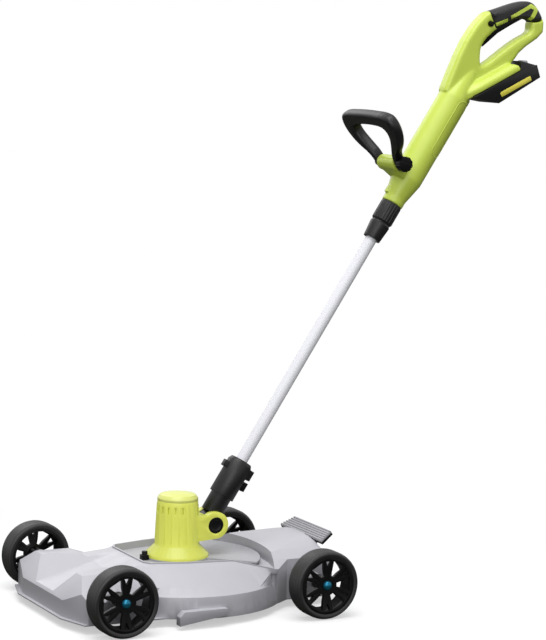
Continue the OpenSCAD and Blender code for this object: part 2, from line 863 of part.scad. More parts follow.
// Shaft: a sleeve on the tilt pivot, a tube, and a telescopic upper tube with its twist lock
collar_w0 = sleeve_top + tube_show;
housing_w0 = collar_w0 + collar_len;
tube_seat = 46;
tube_r = tube_d / 2;
tube_grip = 96;
upper_r = tube_r + slide_fit + tube_wall;
collet_len = 26;
collet_slots = 3;
sleeve_step = 57;
neck_foot = 18;
lug_w = 22;
hook_out = 7;
hook_h = 20;
lock_out = 6;
lock_h = 18;
lock_gap = 5;
lock_travel = 3;
stud_r = 6;

module at_shaft(u, w) {
  translate([pivot_reach, 0, pivot_z]) rotate([0, 90 - shaft_angle, 0]) translate([u, 0, w]) children();
}

module at_tube(w) {
  at_shaft(-tube_offset, w) children();
}

module pivot_pin() {
  color(steel) at_pivot()
    cross_rod(pin_r, -barrel_w / 2 + button_h + button_travel + loose, barrel_w / 2 - pin_r);
}

module pivot_button() {
  y0 = -barrel_w / 2;
  color(black) at_pivot() difference() {
    cross_rod(button_r, y0, y0 + button_h);
    for (i = [-1:1]) translate([i * button_r / 2, y0, 0])
      cube([button_r / 4, button_h / 2, button_r], center = true);
  }
}

module joint_sleeve() {
  color(black) difference() {
    union() {
      at_tube(0) {
        translate([0, 0, neck_foot]) cylinder(r = neck_r, h = sleeve_step - neck_foot);
        translate([0, 0, sleeve_step]) cylinder(r = sleeve_r, h = sleeve_top - sleeve_step - hook_out);
        translate([0, 0, sleeve_top - hook_out])
          cylinder(r1 = sleeve_r, r2 = sleeve_r - hook_out / 2, h = hook_out);
        translate([0, -lug_w / 2, sleeve_top - hook_out - hook_h])
          cube([sleeve_r + hook_out, lug_w, hook_h]);
        translate([-sleeve_r - hook_out, -lug_w / 4, sleeve_top - hook_h - hook_out])
          cube([sleeve_r, lug_w / 2, hook_h - hook_out]);
      }
      at_pivot() cross_rod(barrel_r - 2 * loose, -knuckle_w / 2, knuckle_w / 2);
    }
    at_pivot() {
      for (side = [-1, 1]) translate([0, side * (knuckle_w / 2 + barrel_w / 2), 0])
        cross_rod(barrel_r + loose, -barrel_w / 2, barrel_w / 2);
      cross_rod(pin_r + fit, -barrel_w, barrel_w);
    }
    at_tube(tube_seat) cylinder(r = tube_r, h = sleeve_top);
    at_tube(sleeve_top - hook_out - hook_h - lock_gap - lock_h / 2) rotate([0, 90, 0])
      cylinder(r = stud_r + slide_fit, h = sleeve_r + hook_out);
  }
}

module shaft_lock_button() {
  w = sleeve_top - hook_out - hook_h - lock_gap - lock_h / 2;
  color(black) at_tube(w) {
    translate([sleeve_r + lock_travel + loose, -lug_w / 3, -lock_h / 2])
      cube([lock_out - lock_travel + hook_out / 2, 2 * lug_w / 3, lock_h]);
    translate([tube_r + lock_travel + loose, 0, 0]) rotate([0, 90, 0])
      cylinder(r = stud_r, h = sleeve_r - tube_r + loose);
  }
}

module lower_tube() {
  color("#e4e5e7") at_tube(0) ring(tube_r - tube_wall, tube_r, tube_seat, collar_w0 + tube_grip);
}

module upper_tube() {
  w0 = collar_w0 + collet_len + 2 * loose;
  w1 = collar_w0 + tube_grip + slide_travel + tube_wall;
  color(steel) at_tube(0) ring(tube_r + slide_fit, upper_r, w0, w1);
}

module lock_collet() {
  slot = 2 * tube_wall;
  color(black) at_tube(collar_w0 + loose) difference() {
    ring(tube_r + slide_fit, upper_r, 0, collet_len);
    for (i = [0:collet_slots - 1]) rotate([0, 0, i * 360 / collet_slots]) translate([0, -slot / 2, -overrun])
      cube([collar_r, slot, collet_len - slot + overrun]);
  }
}

collar_flutes = 20;
collar_rib = 1;
collar_waist_share = 0.46;

module twist_collar() {
  waist = collar_waist_share * collar_len;
  color(black) at_tube(collar_w0) difference() {
    rotate_extrude() polygon([
      [0, 0], [collar_r - 3 * collar_rib, 0], [collar_r, waist - 4 * collar_rib],
      [collar_r - 2 * collar_rib, waist],
      [collar_r + collar_rib, waist + 4 * collar_rib], [collar_r + collar_rib, collar_len - 4 * collar_rib],
      [collar_r, collar_len - loose], [0, collar_len - loose]
    ]);
    translate([0, 0, -overrun]) cylinder(r = upper_r + fit, h = collar_len + overrun);
    for (i = [0:collar_flutes - 1]) rotate([0, 0, (i + 0.5) * 360 / collar_flutes])
      translate([collar_r + 2 * collar_rib, 0, waist]) cylinder(r = 2 * collar_rib, h = collar_len, $fn = 32);
  }
}

// Handle: two lime shells split down the middle, with the tube's socket, the rear handle and the battery seat
housing_w_share = 0.7;
band_h = 14;
band_in = 9;
cone_h = 44;
rib_t = 8;
bulkhead_w = housing_w_share * housing_len;
eye_h = 10;
base_in = 2;
base_w = battery_w - 2 * base_in;
loop_u = -tube_offset - loop_out;
loop_w0 = housing_w0 + loop_rise;
loop_boss_r = 15.5;
loop_boss_w = 63.5;
bolt_r = 4;
handle_w0 = housing_w0 + housing_len;

body_shares = [
  [-0.26, 0], [-0.293, 0.06], [-0.38, 0.374], [-0.373, 0.562], [-0.313, 0.702], [-0.24, 0.74], [0, 0.906],
  [0.14, 0.974], [0.247, 0.985], [0.383, 0.96], [0.49, 0.923], handle_back_share, [0.583, 0.836],
  [0.41, 0.628], [0.4, 0.521], [0.267, 0.257], [0.147, 0.094], [0.147, 0]
];
open_shares = [
  [0.027, 0.332], [-0.05, 0.377], [-0.15, 0.48], [-0.06, 0.65], [0.06, 0.77], [0.223, 0.845],
  [0.32, 0.868], [0.35, 0.838], [0.404, 0.789], [0.297, 0.698], [0.197, 0.574]
];
grip_shares = [
  [-0.29, 0.714], [-0.24, 0.74], [0, 0.906], [0.14, 0.974], [0.247, 0.985], [0.383, 0.96], [0.49, 0.923],
  [0.34, 0.85], [0.32, 0.868], [0.223, 0.845], [0.06, 0.77], [-0.07, 0.631], [-0.155, 0.662]
];
core_shares = [
  [-0.275, 0.665], [-0.08, 0.8], [0.04, 0.872], [0.167, 0.928], [0.247, 0.94], [0.353, 0.921], [0.453, 0.891],
  [0.4, 0.838], [0.333, 0.891], [0.267, 0.906], [0.2, 0.875], [0.08, 0.785], [-0.027, 0.679], [-0.16, 0.63]
];
slot_shares = [
  [-0.053, 0.445], [0.027, 0.626], [0.14, 0.743], [0.253, 0.841], [0.24, 0.868], [0.14, 0.893], [0, 0.804],
  [-0.17, 0.664], [-0.253, 0.506], [-0.253, 0.49]
];
trigger_shares = [
  [-0.093, 0.475], [0, 0.63], [0.113, 0.747], [0.21, 0.838], [0.15, 0.875], [0.03, 0.785],
  [-0.11, 0.64], [-0.165, 0.5]
];
base_shares = [
  [-0.007, 0.045], [0.073, 0.094], [0.267, 0.242], [0.487, 0.483], [0.413, 0.536], [0.28, 0.506],
  [0.093, 0.332], [-0.053, 0.177]
];
trigger_pin_share = [0.16, 0.845];
lock_off_share = [-0.192, 0.64];
switch_share = [-0.31, 0.53];

function in_handle(p) = [p[0] * handle_depth, handle_w0 + p[1] * handle_len];
function handle_points(shares) = [for (p = shares) in_handle(p)];

module at_handle(share) {
  p = in_handle(share);
  at_shaft(p[0], p[1]) children();
}

module handle_slab(shares, t) {
  at_shaft(0, 0) side_slab(handle_points(shares), t);
}

module handle_cavity() {
  at_shaft(0, 0) rotate([90, 0, 0]) translate([0, 0, -handle_t / 2 + shell_wall])
    linear_extrude(height = handle_t - 2 * shell_wall) offset(delta = -shell_wall) difference() {
      polygon(handle_points(body_shares));
      polygon(handle_points(open_shares));
    }
}

trigger_pin_r = 2.5;
lock_off_r = 5;
lock_off_stem = 3;
switch_size = [11, handle_t - 2 * shell_wall, 26];

base_screw_shares = [[0.13, 0.23], [0.36, 0.46]];
tube_screw_share = 0.62;

module screw_places() {
  for (p = base_screw_shares) at_handle(p) children();
  for (w = [cone_h, housing_len - rib_t]) at_tube(housing_w0 + w)
    translate([tube_screw_share * housing_r, 0, 0]) children();
}

// The two shells as one form, before they are split
module housing_form() {
  bore = housing_r - shell_wall;
  difference() {
    union() {
      difference() {
        union() {
          at_tube(housing_w0) {
            cylinder(r = housing_r - band_in, h = band_h);
            translate([0, 0, band_h]) cylinder(r1 = housing_r - band_in, r2 = housing_r, h = cone_h);
            translate([0, 0, band_h + cone_h]) cylinder(r = housing_r, h = housing_len - cone_h);
            translate([-housing_r + band_in / 2, -eye_h / 2, band_h]) cube([housing_r, eye_h, eye_h]);
          }
          difference() {
            handle_slab(body_shares, handle_t);
            handle_slab(open_shares, 2 * handle_t);
          }
          handle_slab(base_shares, base_w);
          at_shaft(loop_u, loop_w0) {
            cross_rod(loop_boss_r, -loop_boss_w / 2, loop_boss_w / 2);
            translate([0, -loop_boss_w / 2, -loop_boss_r])
              cube([loop_out - loop_boss_r, loop_boss_w, 2 * loop_boss_r]);
          }
        }
        handle_cavity();
        handle_slab(grip_shares, 2 * handle_t);
        at_tube(housing_w0 + band_h + cone_h) cylinder(r = bore, h = bulkhead_w - band_h - cone_h);
        at_tube(housing_w0 + bulkhead_w + rib_t) cylinder(r = bore, h = housing_len - bulkhead_w - 3 * rib_t);
      }
      handle_slab(core_shares, handle_t - shell_wall);
    }
    at_tube(housing_w0 - overrun)
      cylinder(r = upper_r, h = tube_grip - collar_len + slide_travel + tube_wall + overrun);
    handle_slab(slot_shares, trigger_w + 2 * loose);
    at_handle(trigger_pin_share) cross_rod(trigger_pin_r, -handle_t / 3, handle_t / 3);
    at_handle(lock_off_share) cross_rod(lock_off_r + slide_fit, -handle_t, 0);
    at_shaft(loop_u, loop_w0) cross_rod(bolt_r, -loop_boss_w, loop_boss_w);
    screw_places() {
      cross_rod(screw_r, -screw_len, 2 * screw_len);
      cross_rod(screw_head_r, screw_len, base_w);
    }
    at_battery() {
      terminal_form();
      battery_bay();
    }
  }
}

module half(side) {
  far = 2 * (housing_len + handle_len);
  intersection() {
    housing_form();
    at_shaft(0, handle_w0) translate([0, side * far / 2, 0]) cube([far, far, far], center = true);
  }
}

module grip() {
  color(black) difference() {
    handle_slab(grip_shares, grip_t);
    handle_slab(core_shares, handle_t - shell_wall);
    handle_slab(slot_shares, trigger_w + 2 * loose);
    at_handle(lock_off_share) cross_rod(lock_off_r + slide_fit, -grip_t, 0);
    at_handle(trigger_pin_share) cross_rod(trigger_pin_r, -handle_t / 3, handle_t / 3);
  }
}

module trigger() {
  color(black) difference() {
    handle_slab(trigger_shares, trigger_w);
    at_handle(trigger_pin_share) cross_rod(trigger_pin_r + fit, -trigger_w, trigger_w);
  }
}

module trigger_pin() {
  color(steel) at_handle(trigger_pin_share) cross_rod(trigger_pin_r, -handle_t / 3, handle_t / 3);
}

module lock_off_button() {
  y0 = -grip_t / 2;
  color(black) at_handle(lock_off_share)
    cross_rod(lock_off_r, y0 - lock_off_stem, y0 + lock_off_r + lock_off_stem);
}

module switch() {
  color("#3a3b40") at_handle(switch_share) cube(switch_size, center = true);
}

module housing_screws() {
  color(steel) screw_places() {
    cross_rod(screw_r, -screw_len, screw_len);
    cross_rod(screw_head_r, screw_len, screw_len + screw_head_h);
  }
}

// Loop handle: a closed black loop on a bolt through the lime boss, clamped by a knob
ear_out = 12;
ear_share = 0.225;
loop_shares = [
  [ear_share, -0.12], [ear_share, 0.15], [0.4, 0.36], [0.49, 0.6], [0.5, 0.83], [0.43, 0.98], [0.1, 1]
];
loop_hole_shares = [
  [0.162, -0.2], [0.162, 0.16], [0.25, 0.36], [0.325, 0.55], [0.33, 0.67], [0.27, 0.745], [0.1, 0.77]
];
knob_len = 15;
bolt_head_r = 8;
bolt_head_h = 5;
knob_flutes = 10;
flute_r = 2;

module at_loop() {
  at_shaft(loop_u, loop_w0) children();
}

module loop_handle() {
  outer = [for (p = loop_shares) [p[0] * loop_w, p[1] * loop_reach]];
  hole = [for (p = loop_hole_shares) [p[0] * loop_w, p[1] * loop_reach]];
  color(black) at_loop() rotate([0, -loop_angle, 0]) difference() {
    long_slab(mirrored_u(outer), -loop_t / 2, loop_t / 2);
    long_slab(mirrored_u(hole), -loop_t, loop_t);
    cross_rod(bolt_r + fit, -loop_w, loop_w);
  }
}

ear_face = ear_share * loop_w;

module loop_bolt() {
  color(steel) at_loop() {
    cross_rod(bolt_r, -ear_face - knob_len / 2, ear_face + loose);
    cross_rod(bolt_head_r, ear_face + loose, ear_face + loose + bolt_head_h);
  }
}

module loop_knob() {
  y1 = -ear_face - loose;
  color(black) at_loop() difference() {
    cross_rod(knob_r, y1 - knob_len, y1);
    cross_rod(bolt_r + fit, y1 - knob_len / 2, y1 + overrun);
    for (i = [0:knob_flutes - 1]) rotate([0, i * 360 / knob_flutes, 0])
      translate([knob_r + flute_r / 2, 0, 0]) cross_rod(flute_r, y1 - knob_len - overrun, y1 + overrun);
  }
}

// Battery: a slide-on pack under the seat, drawn along the seat's face and away from it
seat_from = base_shares[1];
seat_to = base_shares[3];
seat_run = in_handle(seat_to) - in_handle(seat_from);
seat_turn = atan2(seat_run[1], seat_run[0]);
seat_len = norm(seat_run);
battery_len = seat_len + battery_over;
battery_shares = [[0, 0], [0, 0.09], [0.29, 1], [0.98, 0.86], [1, 0.14], [0.83, 0]];
tail_shares = [[0.08, 0], [0.27, -0.44], [1, 0.14], [0.91, 0.6], [0.08, 0.6]];
terminal_size = [40, 30, 8];
release_size = [14, 30, 5];
release_share = [0.68, -0.1];
release_travel = 3;

// Along the seat is X, away from the seat is -Z
module at_battery() {
  p = in_handle(seat_from);
  at_shaft(p[0], p[1]) rotate([0, -seat_turn, 0]) children();
}

// An outline whose first share runs along a length that starts at x0
module battery_slab(shares, x0, run, t) {
  side_slab([for (p = shares) [x0 + p[0] * run, -loose - p[1] * battery_h]], t);
}

// The space below the seat that the pack slides through
module battery_bay() {
  translate([-loose, -battery_w, -2 * battery_h]) cube([2 * battery_len, 2 * battery_w, 2 * battery_h]);
}

module terminal_form() {
  translate([battery_len / 3, -terminal_size[1] / 2, 0]) cube(terminal_size);
}

module release_form(grow, drop) {
  translate([seat_len + release_share[0] * battery_over, 0, -release_share[1] * battery_h - drop])
    cube([release_size[0] + 2 * grow, release_size[1] + 2 * grow, release_size[2] + 2 * grow], center = true);
}

module battery_pack() {
  color(black) at_battery() difference() {
    union() {
      battery_slab(battery_shares, 0, battery_len, battery_w);
      battery_slab(tail_shares, seat_len, battery_over, battery_w - 2 * terminal_size[2]);
    }
    release_form(loose, 0);
    release_form(loose, release_travel);
  }
}

module battery_release() {
  color("#3f4046") at_battery() release_form(0, 0);
}

module terminal_block() {
  color("#b98a3a") at_battery() terminal_form();
}

// The frame's origin lies on the ground, under the middle of the machine's length
back_point = along_shaft(in_handle(handle_back_share));
x_shift = -(nose_x - lip_out + back_point[0]) / 2;

module placed() {
  translate([x_shift, 0, 0]) children();
}

placed() deck_shell();
placed() axle(-1);  // front_axle
placed() axle(1);  // rear_axle
placed() axle_caps();
placed() wheel(-1, -1);  // wheel_front_left
placed() wheel(-1, 1);  // wheel_front_right
placed() wheel(1, -1);  // wheel_rear_left
placed() wheel(1, 1);  // wheel_rear_right
placed() tyre(-1, -1);  // tyre_front_left
placed() tyre(-1, 1);  // tyre_front_right
placed() tyre(1, -1);  // tyre_rear_left
placed() tyre(1, 1);  // tyre_rear_right
placed() pedal_lever();
placed() pedal_tread();
placed() pedal_pin();
placed() dock_catch();
placed() motor_housing();
placed() motor_cap();
placed() motor();
placed() motor_shaft();
placed() shaft_bearing();
placed() guard();
placed() line_cutter();
placed() guard_screws();
placed() spool_housing();
placed() line_spool();
placed() line_winding();
placed() cutting_line();
placed() line_eyelets();
placed() bump_knob();
placed() spool_spring();
placed() pivot_pin();
placed() pivot_button();
placed() joint_sleeve();
placed() shaft_lock_button();
placed() lower_tube();
placed() upper_tube();
placed() lock_collet();
placed() twist_collar();
placed() color(lime) half(-1);  // housing_left
placed() color(lime) half(1);  // housing_right
placed() grip();
placed() trigger();
placed() trigger_pin();
placed() lock_off_button();
placed() switch();
placed() terminal_block();
placed() housing_screws();
placed() loop_handle();
placed() loop_bolt();
placed() loop_knob();
placed() battery_pack();
placed() battery_release();
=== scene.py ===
import json
import math

import bmesh
import bpy
from mathutils import Matrix, Vector
from mathutils.bvhtree import BVHTree


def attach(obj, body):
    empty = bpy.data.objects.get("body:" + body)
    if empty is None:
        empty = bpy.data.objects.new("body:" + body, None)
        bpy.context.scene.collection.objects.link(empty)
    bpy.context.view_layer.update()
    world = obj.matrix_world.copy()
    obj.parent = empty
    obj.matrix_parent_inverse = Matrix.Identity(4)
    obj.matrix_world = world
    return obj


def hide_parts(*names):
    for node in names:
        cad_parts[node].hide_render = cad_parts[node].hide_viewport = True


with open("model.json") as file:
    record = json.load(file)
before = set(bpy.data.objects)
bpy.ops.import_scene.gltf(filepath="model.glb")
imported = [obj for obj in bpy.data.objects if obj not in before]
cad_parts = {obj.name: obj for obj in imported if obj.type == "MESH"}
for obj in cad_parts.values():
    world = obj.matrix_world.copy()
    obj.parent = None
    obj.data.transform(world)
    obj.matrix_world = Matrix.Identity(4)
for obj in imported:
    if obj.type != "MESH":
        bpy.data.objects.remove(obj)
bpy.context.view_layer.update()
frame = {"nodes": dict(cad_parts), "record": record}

# Studio: a pale floor, a broad soft lamp overhead, a weaker one beside the camera and one behind,
# so that the mouldings shade softly as they do in a product picture.
# Nothing here is part of the machine.
MM = 0.001
# The motor's axis in the row frame, from which every length of the machine is measured
motor_x = -0.2493686


def srgb(code):
    """A hex colour as linear red, green, blue and alpha."""
    parts = [int(code[i:i + 2], 16) / 255 for i in (1, 3, 5)]
    return [c / 12.92 if c <= 0.04045 else ((c + 0.055) / 1.055) ** 2.4 for c in parts] + [1]


def add(tree, kind, links=None, **settings):
    """Adds a node with its settings; links gives each input a value or another node's output."""
    made = tree.nodes.new(kind)
    for key, value in settings.items():
        setattr(made, key, value)
    for key, value in (links or {}).items():
        if isinstance(value, bpy.types.NodeSocket):
            tree.links.new(value, made.inputs[key])
        else:
            made.inputs[key].default_value = value
    return made


def new_material(name):
    made = bpy.data.materials.new(name)
    made.use_nodes = True
    made.node_tree.nodes.clear()
    return made, made.node_tree


def put(name, mesh):
    made = bpy.data.objects.new(name, mesh)
    bpy.context.scene.collection.objects.link(made)
    return made


studio = bpy.context.scene
studio.view_settings.view_transform = "Standard"
world = bpy.data.worlds.new("studio_air")
studio.world = world
world.use_nodes = True
air = world.node_tree
air.nodes.clear()
path = add(air, "ShaderNodeLightPath")
lit = add(air, "ShaderNodeBackground", {"Color": srgb("#f4f5f8"), "Strength": 0.6})
white = add(air, "ShaderNodeBackground", {"Color": srgb("#ffffff"), "Strength": 1})
seen = add(air, "ShaderNodeMath", {0: path.outputs["Is Camera Ray"], 1: path.outputs["Is Glossy Ray"]},
           operation="MAXIMUM")
both = add(air, "ShaderNodeMixShader", {0: seen.outputs[0], 1: lit.outputs[0], 2: white.outputs[0]})
add(air, "ShaderNodeOutputWorld", {"Surface": both.outputs[0]})

floor_paper, tree = new_material("matt_paper_floor")
path = add(tree, "ShaderNodeLightPath")
where = add(tree, "ShaderNodeTexCoord").outputs["Object"]
fibre = add(tree, "ShaderNodeTexNoise", {"Vector": where, "Scale": 30})
tint = add(tree, "ShaderNodeMix", {0: fibre.outputs["Fac"], 6: srgb("#f6f6f6"), 7: srgb("#f1f1f2")},
           data_type="RGBA")
ground = add(tree, "ShaderNodeMix", {0: path.outputs["Is Camera Ray"], 6: srgb("#5a5c54"), 7: tint.outputs[2]},
             data_type="RGBA")
paper = add(tree, "ShaderNodeBsdfDiffuse", {"Color": ground.outputs[2]})
glow = add(tree, "ShaderNodeEmission", {"Color": srgb("#ffffff"), "Strength": 1})
reach = add(tree, "ShaderNodeVectorMath", {0: where}, operation="LENGTH")
fade = add(tree, "ShaderNodeMapRange", {"Value": reach.outputs["Value"], "From Min": 0.5, "From Max": 0.95,
                                       "To Min": 0.5, "To Max": 1}, interpolation_type="SMOOTHSTEP")
share = add(tree, "ShaderNodeMath", {0: path.outputs["Is Camera Ray"], 1: fade.outputs[0]}, operation="MULTIPLY")
sheet = add(tree, "ShaderNodeMixShader", {0: share.outputs[0], 1: paper.outputs[0], 2: glow.outputs[0]})
add(tree, "ShaderNodeOutputMaterial", {"Surface": sheet.outputs[0]})

floor_half, floor_z = 40, -0.0004
floor_mesh = bpy.data.meshes.new("floor")
floor_mesh.from_pydata([(x * floor_half, y * floor_half, floor_z) for x, y in ((-1, -1), (1, -1), (1, 1), (-1, 1))],
                       [], [(0, 1, 2, 3)])
floor_mesh.materials.append(floor_paper)
put("floor", floor_mesh)


def softbox(name, place, aim, size, watts):
    """A round soft lamp of that size in metres, turned to the point it lights."""
    data = bpy.data.lights.new(name, "AREA")
    data.shape = "DISK"
    data.size = size
    data.energy = watts
    lamp = put(name, data)
    lamp.location = place
    lamp.rotation_euler = (Vector(aim) - Vector(place)).to_track_quat("-Z", "Y").to_euler()


softbox("key_lamp", (-0.7, -0.9, 3.9), (0, 0, 0.4), 3.2, 112)
softbox("fill_lamp", (-1.9, -3.6, 2.0), (0.1, 0, 0.6), 2.8, 55)
softbox("back_lamp", (-0.4, 3.2, 2.6), (0, 0, 0.5), 2.4, 30)

# The camera stands low on the machine's left, ahead of it, with a long lens and a slight roll
turn, dip, roll = 0.4705, 0.1214, 0.0243
stand = Vector((motor_x - 1.9814, -4.2788, 1.1246))
lens_mm, sensor_mm = 140.91, 36
forward = Vector((math.sin(turn) * math.cos(dip), math.cos(turn) * math.cos(dip), -math.sin(dip)))
right = Vector((math.cos(turn), -math.sin(turn), 0))
up = right.cross(forward)
across = right * math.cos(roll) + up * math.sin(roll)
upright = up * math.cos(roll) - right * math.sin(roll)
lens = bpy.data.cameras.new("camera")
lens.lens = lens_mm
lens.sensor_width = sensor_mm
camera = put("camera", lens)
camera.matrix_world = Matrix((
    (across.x, upright.x, -forward.x, stand.x),
    (across.y, upright.y, -forward.y, stand.y),
    (across.z, upright.z, -forward.z, stand.z),
    (0, 0, 0, 1)))
studio.camera = camera

# Deck: a pale grey ABS moulding with a round drum, a sunk nose and a rear hood, open below.
# Its edges are rounded as they leave the mould, and a raised rim follows the recess.
body_of = {n: b for b, nodes in frame["record"]["behaviour"]["bodies"].items() for n in nodes}


def moulded(name, tone, shade, rough, grain_mm, depth_mm, gloss=0.5, painted_wall_shading=None):
    """Moulded plastic: the tool's spark-eroded grain gives fine bumps and an uneven sheen.
    The grain is drawn coarser than the real 0.2 mm so that it shows. Upright walls can take a tone of their own:
    painted shade or painted light that stands in for how the lamps fall on them, not a change in the plastic."""
    made, tree = new_material(name)
    where = add(tree, "ShaderNodeTexCoord").outputs["Object"]
    cloud = add(tree, "ShaderNodeTexNoise", {"Vector": where, "Scale": 16, "Detail": 3})
    colour = add(tree, "ShaderNodeMix", {0: cloud.outputs["Fac"], 6: srgb(tone), 7: srgb(shade)}, data_type="RGBA")
    # Painted shade or painted light: faces that stand upright take the wall tone, and faces that look up or down keep
    # the plain one
    if painted_wall_shading:
        facing = add(tree, "ShaderNodeSeparateXYZ", {0: add(tree, "ShaderNodeNewGeometry").outputs["Normal"]})
        level = add(tree, "ShaderNodeMath", {0: facing.outputs["Z"]}, operation="ABSOLUTE")
        flat = add(tree, "ShaderNodeMapRange", {"Value": level.outputs[0], "From Min": 0.2, "From Max": 0.55},
                   interpolation_type="SMOOTHSTEP")
        colour = add(tree, "ShaderNodeMix", {0: flat.outputs[0], 6: srgb(painted_wall_shading), 7: colour.outputs[2]},
                     data_type="RGBA")
    grain = add(tree, "ShaderNodeTexNoise", {"Vector": where, "Scale": 1 / (grain_mm * MM), "Detail": 2})
    relief = add(tree, "ShaderNodeBump",
                 {"Height": grain.outputs["Fac"], "Strength": 0.5, "Distance": depth_mm * MM})
    sheen = add(tree, "ShaderNodeMapRange", {"Value": grain.outputs["Fac"], "From Min": 0.3, "From Max": 0.7,
                                            "To Min": rough - 0.07, "To Max": rough + 0.07})
    skin = add(tree, "ShaderNodeBsdfPrincipled", {"Base Color": colour.outputs[2], "Roughness": sheen.outputs[0],
                                                 "Normal": relief.outputs[0], "Specular IOR Level": gloss})
    add(tree, "ShaderNodeOutputMaterial", {"Surface": skin.outputs[0]})
    return made


def smooth(mesh, degrees):
    """Shades the mesh smooth, apart from edges sharper than that."""
    mesh.polygons.foreach_set("use_smooth", [True] * len(mesh.polygons))
    mesh.set_sharp_from_angle(angle=math.radians(degrees))


def settle(piece):
    """Makes the piece's modifiers part of its mesh and removes them."""
    depsgraph = bpy.context.evaluated_depsgraph_get()
    done = bpy.data.meshes.new_from_object(piece.evaluated_get(depsgraph))
    piece.modifiers.clear()
    piece.data = done
    return done


def dress(piece, node, material):
    """The piece stands for the node: it moves with the node's body and takes its finish."""
    piece.data.materials.clear()
    piece.data.materials.append(material)
    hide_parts(node)
    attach(piece, body_of[node])
    return piece


def eased(node, name, radius_mm, material, degrees=32, segments=2):
    """The node's solid with its edges rounded, as a moulding's are."""
    mesh = frame["nodes"][node].data.copy()
    if "custom_normal" in mesh.attributes:
        mesh.attributes.remove(mesh.attributes["custom_normal"])
    form = bmesh.new()
    form.from_mesh(mesh)
    bmesh.ops.remove_doubles(form, verts=form.verts, dist=1e-5)
    bmesh.ops.dissolve_limit(form, angle_limit=math.radians(0.6), verts=form.verts, edges=form.edges)
    form.to_mesh(mesh)
    form.free()
    piece = put(name, mesh)
    edge = piece.modifiers.new("edge", "BEVEL")
    edge.width = radius_mm * MM
    edge.segments = segments
    edge.limit_method = "ANGLE"
    edge.angle_limit = math.radians(degrees)
    edge.use_clamp_overlap = True
    smooth(settle(piece), degrees)
    return dress(piece, node, material)


def keep(node, material):
    """The node's own solid, with a better finish."""
    mesh = frame["nodes"][node].data
    mesh.materials.clear()
    mesh.materials.append(material)


# The deck's upright walls are drawn darker than its top: painted shade for the little light that reaches them from
# above
deck_abs = moulded("pale_grey_abs", "#b4b3b9", "#adacb2", 0.36, 0.9, 0.03, painted_wall_shading="#9c9ba1")
deck_sharp = 24
deck = eased("deck_shell", "deck_moulding", 1.4, deck_abs, degrees=deck_sharp)

# The top's skin: it rises from the drum's shoulder and from the ramp to the rim of the recess, all round,
# and lies on the moulding. Each line runs from a point by the rim to one on the shoulder or the ramp.
skin_lines = [((131, 142.3), (133.6, 145.2)), ((96.5, 131.5), (112.6, 161)), ((63.1, 121), (90.4, 173.1)),
              ((-25.1, 108.4), (-43.8, 190)), ((-94.3, 89.1), (-126, 119)), ((-103.8, 72.5), (-160, 96)),
              ((-103.8, 0), (-165, 0))]
skin_lines += [((px, -py), (qx, -qy)) for (px, py), (qx, qy) in reversed(skin_lines[:-1])]
rim_level, fall_from, fall_rate, skin_steps, run_steps = 99.4, 61, 0.233, 14, 14
above, sunk, edge_sunk, skin_deep = 300, 0.4, 0.3, 1.6
deck_top = BVHTree.FromPolygons([v.co for v in deck.data.vertices], [f.vertices for f in deck.data.polygons])
skin = bmesh.new()
skin.from_mesh(deck.data)
rows = []
for (p0, q0), (p1, q1) in zip(skin_lines, skin_lines[1:]):
    for k in range(run_steps):
        near, far = (Vector(a).lerp(Vector(b), k / run_steps) for a, b in ((p0, p1), (q0, q1)))
        below = []
        for s in range(skin_steps + 1):
            at = near.lerp(far, s / skin_steps)
            start = Vector((motor_x + at.x * MM, at.y * MM, above * MM))
            below.append(deck_top.ray_cast(start, Vector((0, 0, -1)))[0])
        # Each line is drawn tight over the moulding, like a string from the rim to its lower end
        line = [(rim_level - fall_rate * max(0, near.x - fall_from)) * MM]
        line += [h.z - sunk * MM for h in below[1:-1]] + [below[-1].z - edge_sunk * MM]
        tops = [Vector((h.x, h.y, max(line[i] + (line[j] - line[i]) * (s - i) / max(1, j - i)
                                      for i in range(s + 1) for j in range(s, skin_steps + 1))))
                for s, h in enumerate(below)]
        lows = [h - Vector((0, 0, skin_deep * MM)) for h in reversed(below)]
        rows.append([skin.verts.new(v) for v in tops + lows])
around = len(rows[0])
for a, b in zip(rows, rows[1:]):
    for i in range(around):
        skin.faces.new((a[i], a[(i + 1) % around], b[(i + 1) % around], b[i]))
skin.faces.new(rows[0])
skin.faces.new(reversed(rows[-1]))
skin_verts = {v for row in rows for v in row}
bmesh.ops.recalc_face_normals(skin, faces=[f for f in skin.faces if f.verts[0] in skin_verts])
skin.to_mesh(deck.data)
skin.free()
smooth(deck.data, deck_sharp)

# Axles: plain bright steel rods pressed through the deck's bosses.
# The wheels turn on them, and domed caps of teal-lacquered metal are pushed on their ends.


def drawn_metal(name, tone, shade, rough, along, metallic=1.0, line_mm=0.8, turn_y=0.0, vary=0.08):
    """Drawn or turned metal: fine lines run along the given axes, turned about Y, and break up the gloss.
    The lines are so many times longer than wide."""
    stretch = 33
    made, tree = new_material(name)
    where = add(tree, "ShaderNodeTexCoord").outputs["Object"]
    squeeze = add(tree, "ShaderNodeMapping", {"Vector": where, "Rotation": (0, turn_y, 0),
                                             "Scale": [stretch if a else 1 for a in along]}, vector_type="TEXTURE")
    lines = add(tree, "ShaderNodeTexNoise", {"Vector": squeeze.outputs[0], "Scale": 1 / (line_mm * MM), "Detail": 2})
    colour = add(tree, "ShaderNodeMix", {0: lines.outputs["Fac"], 6: srgb(tone), 7: srgb(shade)}, data_type="RGBA")
    sheen = add(tree, "ShaderNodeMapRange", {"Value": lines.outputs["Fac"], "From Min": 0.3, "From Max": 0.7,
                                            "To Min": rough - vary, "To Max": rough + vary})
    skin = add(tree, "ShaderNodeBsdfPrincipled", {"Base Color": colour.outputs[2], "Metallic": metallic,
                                                 "Roughness": sheen.outputs[0]})
    add(tree, "ShaderNodeOutputMaterial", {"Surface": skin.outputs[0]})
    return made


